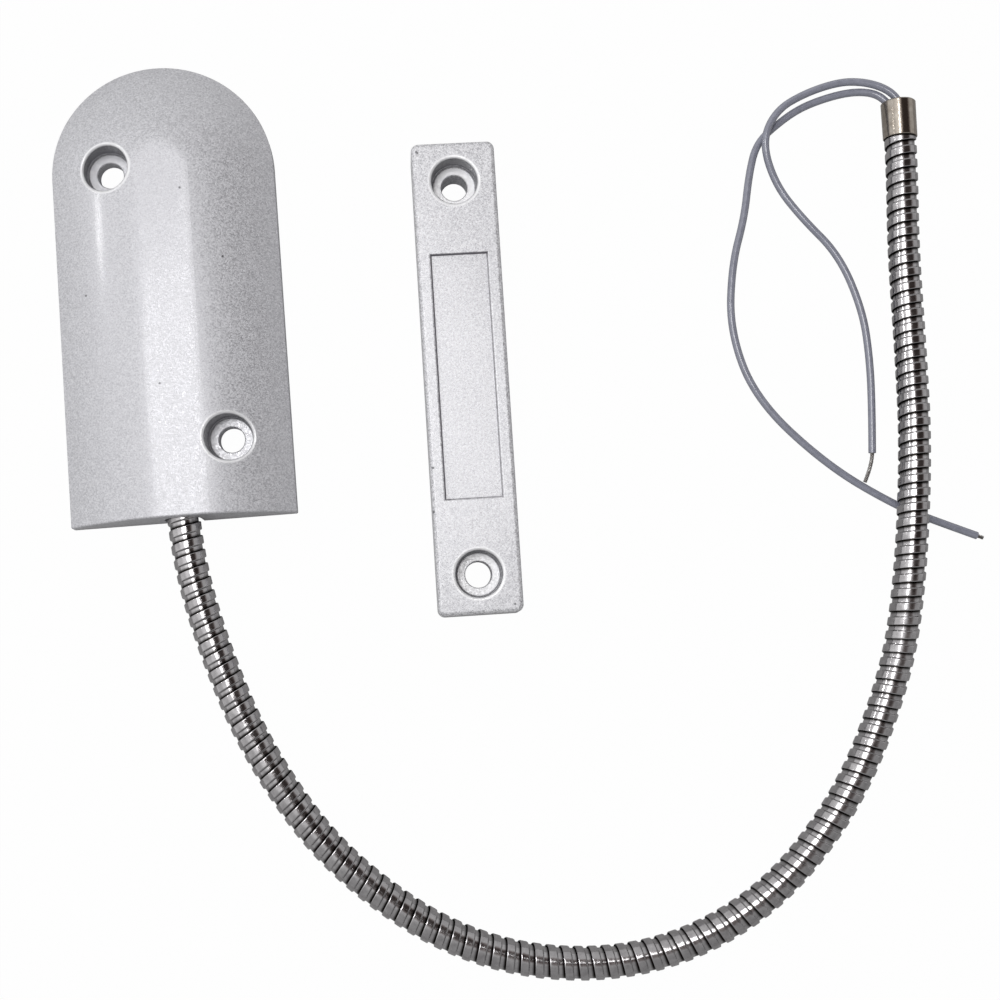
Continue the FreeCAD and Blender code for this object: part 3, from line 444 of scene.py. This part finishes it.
def shaded_panel_rim(tree, place, paint, middle, turn, half_width, half_length):
    """Painted shade at the foot of the label panel's rim, heaviest along its left and upper sides.
    """
    local = add(tree, "Mapping", vector_type="TEXTURE", Vector=place, Location=(*middle, 0.0),
                Rotation=(0.0, 0.0, turn), Scale=(MM, MM, MM))
    across, along, height = add(tree, "SeparateXYZ", local).outputs
    # The painted shade is heaviest along the rim's left and upper sides
    left = add(tree, "MapRange", across, 1.0 - half_width, 1.1 - half_width, 1.0, 0.0)
    upper = add(tree, "MapRange", along, half_length - 1.1, half_length - 1.0, 0.0, 1.0)
    thick = add(tree, "Math", left, upper, operation="MAXIMUM")
    rim_shade = add(tree, "MapRange", thick, 0.0, 1.0, 0.5, 0.9)
    for part, half in ((across, half_width), (along, half_length)):
        off_middle = add(tree, "Math", part, operation="ABSOLUTE")
        in_panel = add(tree, "MapRange", off_middle, half + 0.62, half + 0.72, 1.0, 0.0)
        rim_shade = add(tree, "Math", rim_shade, in_panel, operation="MULTIPLY")
    on_rim = band(tree, height, (panel_floor + 0.02, panel_floor + 0.06),
                  (case_top - 0.14, case_top - 0.03))
    rim_shade = add(tree, "Math", rim_shade, on_rim, operation="MULTIPLY")
    # The painted shade's colour, mixed over the paint
    return add(tree, "Mix", rim_shade, paint, "#55505A", data_type="RGBA")


def pockets_with_painted_light(tree, place, paint, screws, seat_height, lit_seat_colour):
    """Painted shade on the pockets' walls and at their foot, a painted highlight on their rims
    and painted light on their seats.
    """
    away = from_nearest(tree, place, screws)
    height = add(tree, "SeparateXYZ", place).outputs["Z"]
    over_seat = add(tree, "MapRange", height, (seat_height + 0.5) * MM, (seat_height + 1.0) * MM,
                    0.0, 1.0)
    at_seat = add(tree, "MapRange", height, (seat_height + 0.1) * MM, (seat_height + 0.35) * MM,
                  1.0, 0.0)
    shaded_wall = band(tree, away, (4.9, 5.0), (5.15, 5.3))
    rim = band(tree, away, (5.15, 5.4), (5.75, 6.1))
    lit_seat = band(tree, away, (3.0, 3.2), (4.5, 4.7))
    shaded_foot = band(tree, away, (4.65, 4.8), (5.15, 5.3), most=0.6)
    # Painted shade on the walls, a painted highlight on the rims, painted light on the seats and
    # painted shade at the foot
    for ring, level, colour in ((shaded_wall, over_seat, "#808085"), (rim, over_seat, "#F4F4F6"),
                                (lit_seat, at_seat, lit_seat_colour), (shaded_foot, at_seat, "#4A494F")):
        where = add(tree, "Math", ring, level, operation="MULTIPLY")
        paint = add(tree, "Mix", where, paint, colour, data_type="RGBA")
    return paint


print("the panel's rim is", round(case_top - panel_floor, 2), "mm high")

# %% [markdown]
# ## Silver paint on a die casting
# Both cases are cast in zinc alloy and sprayed with a silver-grey paint. The paint carries
# aluminium flakes that lie nearly flat, so it is bright where it faces the light and greys off
# quickly on the slopes. Up close it is grainy, with single flakes that sparkle, over the slight
# orange peel of sprayed paint. A few casting pits show through it.

# %% Metallic paint
noise_span = (0.3, 0.7)  # nearly all values of a noise lie between these
flakes_per_mm, grains_per_mm, clouds_per_mm, peel_per_mm = 4.2, 2.0, 0.12, 1.4


def sprayed_silver(name, light_flake, dark_flake, screws, seat_height, lit_seat_colour, pits,
                   panel_place=None):
    finish, tree, shader = new_finish(name, Metallic=0.38, Coat_Weight=0.35, Coat_Roughness=0.12,
                                      Coat_IOR=1.48)
    place = add(tree, "TexCoord").outputs["Object"]
    # Real flakes are about 0.05 mm across. They are drawn at 0.24 mm, the size of a pixel of the
    # photograph, which shows them only as clusters.
    flakes = add(tree, "TexVoronoi", Vector=place, Scale=flakes_per_mm / MM)
    flake_shade = add(tree, "SeparateColor", flakes.outputs["Color"])
    grain = add(tree, "TexNoise", Vector=place, Scale=grains_per_mm / MM, Detail=2.0,
                Roughness=0.6)
    mixed = add(tree, "Math", flake_shade, 0.9, grain, operation="MULTIPLY_ADD")
    shade = add(tree, "MapRange", mixed, 0.35, 1.55, 0.0, 1.0)
    paint = add(tree, "Mix", shade, dark_flake, light_flake, data_type="RGBA")
    # The pockets get painted light and shade
    paint = pockets_with_painted_light(tree, place, paint, screws, seat_height, lit_seat_colour)
    in_pit = add(tree, "MapRange", from_nearest(tree, place, pits), 0.14, 0.36, 0.8, 0.0)
    paint = add(tree, "Mix", in_pit, paint, "#3E3E42", data_type="RGBA")
    # and the label panel's rim gets painted shade
    if panel_place:
        paint = shaded_panel_rim(tree, place, paint, *panel_place)

    cloud = add(tree, "TexNoise", Vector=place, Scale=clouds_per_mm / MM, Detail=2.0)
    base = add(tree, "MapRange", cloud, *noise_span, 0.29, 0.31)
    roughness = add(tree, "Math", flake_shade, 0.34, base, operation="MULTIPLY_ADD")
    peel = add(tree, "TexNoise", Vector=place, Scale=peel_per_mm / MM, Detail=1.0)
    low_peel = add(tree, "Math", peel, 0.6, operation="MULTIPLY")
    skin = add(tree, "Math", flake_shade, 0.6, low_peel, operation="MULTIPLY_ADD")
    give(tree, shader, Base_Color=paint, Roughness=roughness,
         Normal=add(tree, "Bump", Height=skin, Strength=0.8, Distance=0.03 * MM))
    return finish


# Places over the table in millimetres: the screws and the panel are where the solids have them,
# and the pits where the photograph shows them
switch_screws = [(-11.75, 31.3), (11.75, -31.3)]
magnet_screws = [(66.04, 22.29), (64.66, -65.99)]
housing_pits = [(-2.2, -18.6), (13.1, 9.4), (4.8, 25.2), (-18.0, 3.0)]
magnet_pits = [(58.0, 29.4), (58.25, 29.15), (72.0, -73.2), (56.4, -42.0), (55.8, -51.7)]
label_panel = ((65.35 * MM, -21.85 * MM), math.radians(-0.9), 6.15, 27.3)
# The seats' colours, #E0E0E4 and #FDFDFF, are painted light
housing_paint = sprayed_silver("silver_spray_paint_on_casting", "#E6E6EA", "#B5B5BA",
                               switch_screws, 3.1, "#E0E0E4", housing_pits)
magnet_paint = sprayed_silver("silver_spray_paint_on_magnet_casting", "#FCFCFF", "#A2A2A7",
                              magnet_screws, 6.2, "#FDFDFF", magnet_pits, label_panel)
print("two paints, the magnet unit's with", len(magnet_paint.node_tree.nodes), "nodes")

# %% [markdown]
# ## Rolled stainless strip
# The hose's strip is bright stainless steel, a nearly neutral grey that reflects its surroundings
# almost like a mirror. Rolling leaves fine lines along the strip. Under the hooked edges and inside
# the ferrule the strip is painted dark, as painted shade. The strip's own across-coordinate was
# kept as an attribute, so both follow the winding.

# %% Stainless strip
hose_in_ferrule = 3.7
lines_per_mm, stains_per_mm, dents_per_mm = 14.0, 0.5, 0.5
strip_finish, tree, shader = new_finish("rolled_stainless_strip", Metallic=1.0)
place = add(tree, "TexCoord").outputs["Object"]
across, along_route = (add(tree, "Attribute", attribute_name=kept).outputs["Fac"]
                       for kept in ("across", "along_route"))
lines = add(tree, "TexNoise", noise_dimensions="1D", W=across, Scale=lines_per_mm, Detail=3.0)
stain = add(tree, "TexNoise", Vector=place, Scale=stains_per_mm / MM, Detail=3.0, Roughness=0.65)
lined = add(tree, "Math", lines, 0.5, stain, operation="MULTIPLY_ADD")
shade = add(tree, "MapRange", lined, 0.4, 1.1, 0.0, 1.0)
steel = add(tree, "Mix", shade, "#A09D9F", "#D3D1D2", data_type="RGBA")

# Painted shade under the raised band's hooked edge, at its free edge and inside the ferrule
under_edge = add(tree, "MapRange", across, 2.45, 2.95, 0.0, 1.0)
free_edge = add(tree, "MapRange", across, 0.01, 0.06, 1.0, 0.0)
ferrule_tail = hose_stops[-1][0] / MM - hose_in_ferrule
in_ferrule = add(tree, "MapRange", along_route, ferrule_tail - 0.5, ferrule_tail - 0.3, 0.0, 1.0)
edges = add(tree, "Math", under_edge, free_edge, operation="MAXIMUM")
painted_gap_shade = add(tree, "Math", edges, in_ferrule, operation="MAXIMUM")

dents = add(tree, "TexNoise", Vector=place, Scale=dents_per_mm / MM, Detail=3.0)
height = add(tree, "Math", lines, 0.05, dents, operation="MULTIPLY_ADD")
# The painted shade goes over the steel in #1A1714
give(tree, shader,
     Base_Color=add(tree, "Mix", painted_gap_shade, steel, "#1A1714", data_type="RGBA"),
     Roughness=add(tree, "MapRange", stain, *noise_span, 0.10, 0.19),
     Normal=add(tree, "Bump", Height=height, Strength=0.5, Distance=0.07 * MM))
print("the ferrule's tail is", round(ferrule_tail, 1), "mm along the hose")

# %% [markdown]
# ## Plated and soldered metals
# The ferrule is a brass sleeve with bright nickel on it, warmer and smoother than the strip, with
# small dents where it was crimped and handled. The metals inside the unit follow the same recipe.
# One noise stands for the uneven film on the metal, which is duller where it is darker, and a
# second one makes the dents.

# %% Bright metals
film_per_mm = 0.6


def shaded_and_glossed(tree, shader, cloud, dark, light, rough_at_dark, rough_at_light):
    """Lets one noise lead both the colour and the roughness."""
    share = add(tree, "MapRange", cloud, *noise_span, 0.0, 1.0)
    give(tree, shader, Base_Color=add(tree, "Mix", share, dark, light, data_type="RGBA"),
         Roughness=add(tree, "MapRange", cloud, *noise_span, rough_at_dark, rough_at_light))


def polished_metal(name, light, dark, smooth, dull, dent_mm, dent_depth):
    finish, tree, shader = new_finish(name, Metallic=1.0)
    place = add(tree, "TexCoord").outputs["Object"]
    film = add(tree, "TexNoise", Vector=place, Scale=film_per_mm / MM, Detail=4.0, Roughness=0.6)
    shaded_and_glossed(tree, shader, film, dark, light, dull, smooth)
    dents = add(tree, "TexNoise", Vector=place, Scale=1 / dent_mm / MM, Detail=2.0)
    give(tree, shader,
         Normal=add(tree, "Bump", Height=dents, Strength=0.5, Distance=dent_depth * MM))
    print(name, "has dents", dent_mm, "mm apart")
    return finish


# Bright nickel on brass is warm and nearly a mirror
nickel_plate = polished_metal("bright_nickel_plate", "#C3BBB1", "#A59B90", 0.08, 0.18, 1.2, 0.05)
# Zinc on steel is cooler and half dull
zinc_plate = polished_metal("zinc_plated_steel", "#C9CCD0", "#A2A5AA", 0.28, 0.42, 0.8, 0.02)
# The reed's rolled blades have a soft sheen
reed_metal = polished_metal("plated_nickel_iron", "#D6D2C8", "#B5B1A8", 0.22, 0.34, 0.5, 0.01)
# Solder sets a little lumpy and grey
solder_metal = polished_metal("tin_solder", "#C8C8C9", "#9C9C9E", 0.25, 0.45, 0.6, 0.05)
# Thin tin on copper wire is grey, with browner places where it is worn
copper_wire = polished_metal("tinned_copper_strand", "#BDBBB9", "#6E6763", 0.25, 0.40, 0.3, 0.01)

# %% [markdown]
# ## Grey wire insulation and the other plastics
# The insulation is soft PVC in a lavender grey, with a clear gloss from the extruder. The potting
# resin, the bush and the heat-shrink sleeves are black, and differ mostly in gloss and in how
# uneven they are. One noise leads the colour, the gloss and the slight waves of each.

# %% Plastics and resin
def plain_polymer(name, light, dark, smooth, dull, wave_mm, wave_depth, **fixed):
    finish, tree, shader = new_finish(name, **fixed)
    place = add(tree, "TexCoord").outputs["Object"]
    cloud = add(tree, "TexNoise", Vector=place, Scale=1 / wave_mm / MM, Detail=4.0, Roughness=0.6)
    shaded_and_glossed(tree, shader, cloud, dark, light, smooth, dull)
    give(tree, shader,
         Normal=add(tree, "Bump", Height=cloud, Strength=0.4, Distance=wave_depth * MM))
    print(name, "has waves", wave_mm, "mm apart")
    return finish


# Extruded PVC has a thin glossy skin over an even colour
wire_pvc = plain_polymer("soft_pvc_insulation", "#9597A5", "#858794", 0.20, 0.26, 1.5, 0.002,
                         Coat_Weight=0.8, Coat_Roughness=0.10)
# Poured resin sets black and glossy, in slow waves
potting_resin = plain_polymer("black_potting_resin", "#1C1C1D", "#101011", 0.18, 0.30, 6.0, 0.10)
# Moulded nylon is satin, and a shade lighter than the resin
bush_nylon = plain_polymer("moulded_black_nylon", "#242425", "#1A1A1B", 0.42, 0.55, 0.6, 0.02)
# A shrunk sleeve is dull and slightly wrinkled
shrink_tube = plain_polymer("shrunk_polyolefin_tube", "#1E1E1F", "#151516", 0.50, 0.62, 0.8, 0.03)
# Silicone is milky and lets some light through
silicone = plain_polymer("translucent_silicone", "#E2E2DC", "#D2D2CB", 0.35, 0.45, 1.5, 0.01,
                         Transmission_Weight=0.35, IOR=1.41)
# Pressed and fired ferrite is dark, dry and grainy, like stone
ferrite = plain_polymer("sintered_ferrite", "#3A3A3C", "#29292B", 0.60, 0.78, 0.4, 0.03)
# The reed's glass is clear with a green tint
reed_glass = plain_polymer("green_tinted_glass", "#CFE8D4", "#BFDCC6", 0.03, 0.08, 2.0, 0.005,
                           Transmission_Weight=1.0, IOR=1.5)

# %% [markdown]
# ## Giving each piece its finish
# The solids keep their material slots, and each slot gets the finish of the real part. Pieces that
# touch differ in colour or in gloss, as they do when the unit is taken apart.

# %% Giving each piece its finish
finish_of = {
    "switch_housing": housing_paint, "magnet_case": magnet_paint,
    "switch_potting": potting_resin, "magnet_potting": potting_resin, "magnet_bar": ferrite,
    "reed_capsule": reed_glass, "reed_blade_a": reed_metal, "reed_blade_b": reed_metal,
    "reed_buffer_sleeve": silicone, "solder_joint_a": solder_metal, "solder_joint_b": solder_metal,
    "joint_sleeve_a": shrink_tube, "joint_sleeve_b": shrink_tube, "hose_crimp_ring": zinc_plate,
    "end_ferrule": nickel_plate, "ferrule_bush": bush_nylon}
finish_of_made = ((hose, strip_finish), (wire_a, wire_pvc), (wire_b, wire_pvc),
                  (strands_a, copper_wire), (strands_b, copper_wire))
for name, finish in finish_of.items():
    for slot in node[name].material_slots:
        slot.material = finish
for piece, finish in finish_of_made:
    piece.data.materials.append(finish)
print(len(finish_of) + len(finish_of_made), "pieces have a finish")

# %% [markdown]
# ## The table
# The picture has a plain white ground. That white comes from the floor's own material, where the
# camera sees it, and never from more light on the object. Every other ray meets pale paper, which
# keeps the object's faint shadow.

# %% Floor
half_floor = 3.0
white_share = 0.985
bm = bmesh.new()
bmesh.ops.create_grid(bm, x_segments=1, y_segments=1, size=half_floor,
                      matrix=Matrix.Translation((0.06, -0.05, -0.05 * MM)))
floor = finished_piece("table_top", bm)
floor_finish = bpy.data.materials.new("white_table_paper")
floor_finish.use_nodes = True
tree = floor_finish.node_tree
tree.nodes.clear()
rays = add(tree, "LightPath").outputs
seen = add(tree, "Math", rays["Is Camera Ray"], rays["Is Transmission Ray"], operation="MAXIMUM")
share = add(tree, "Math", seen, white_share, operation="MULTIPLY")
paper = add(tree, "BsdfDiffuse", Color="#B4B4B4")
glow = add(tree, "Emission", Color="#FFFFFF", Strength=1.0)
add(tree, "OutputMaterial", Surface=add(tree, "MixShader", share, paper, glow))
floor.data.materials.append(floor_finish)

# %% [markdown]
# ## Two lamps
# One broad soft light hangs nearly overhead, a little to the left. It lays the pale band on the
# housing's crest. A smaller window light is low on the left and draws the streak beside the upper
# screw pocket.

# %% Lamps
def softbox(name, place, target, size, power):
    """A square lamp that faces a target, all in millimetres, with its power in watts."""
    data = bpy.data.lights.new(name, "AREA")
    data.size = size * MM
    data.energy = power
    lamp = bpy.data.objects.new(name, data)
    lamp.location = Vector(place) * MM
    lamp.rotation_euler = (Vector(target) - Vector(place)).to_track_quat("-Z", "Y").to_euler()
    bpy.context.scene.collection.objects.link(lamp)
    print(name, "gives", power, "W")


softbox("overhead_softbox", (-20, 60, 600), (40, -50, 0), size=270, power=1.13)
softbox("left_window", (-700, 281, 570), (0, 0, 0), size=66, power=0.34)

# %% [markdown]
# ## The room
# Bright metal shows its surroundings, so the dark part of the room matters as much as the lamps: it
# draws the dark line beside the hose's highlight. The room is lighter on the left, a little darker
# in front, and it has one warm dark patch high on the right and one pale patch high on the left.
# Each is a direction, and how nearly a ray goes that way sets how strongly it counts.

# %% Room
def patch(tree, direction, towards, outer, inner, level_outside, level_inside):
    """A level that changes where the room lies near one direction."""
    near = add(tree, "VectorMath", direction, towards, operation="DOT_PRODUCT")
    return add(tree, "MapRange", near, outer, inner, level_outside, level_inside)


world = bpy.data.worlds.new("studio_room")
bpy.context.scene.world = world
world.use_nodes = True
tree = world.node_tree
tree.nodes.clear()
direction = add(tree, "TexCoord").outputs["Generated"]
dark_patch = patch(tree, direction, (0.42, 0.2, 0.885), 0.84, 0.95, 1.0, 0.11)
left_side = patch(tree, direction, (-0.85, -0.2, 0.45), -0.6, 0.9, 0.55, 0.80)
front_side = patch(tree, direction, (0.1, -0.95, 0.3), 0.2, 0.7, 1.0, 0.52)
pale_patch = patch(tree, direction, (-0.40, 0.12, 0.909), 0.88, 0.97, 0.0, 0.4)
sides = add(tree, "Math", dark_patch, left_side, operation="MULTIPLY")
all_sides = add(tree, "Math", sides, front_side, operation="MULTIPLY")
level = add(tree, "Math", all_sides, pale_patch, operation="ADD")
camera_ray = add(tree, "LightPath").outputs["Is Camera Ray"]
strength = add(tree, "Mix", camera_ray, level, 1.0, data_type="FLOAT")
wall_colour = add(tree, "Mix", dark_patch, "#D2B8B0", "#FFFFFF", data_type="RGBA")
room = add(tree, "Background", Color=wall_colour, Strength=strength)
add(tree, "OutputWorld", Surface=room)
bpy.context.scene.view_settings.view_transform = "Standard"
print("the room has", len(tree.nodes), "nodes")
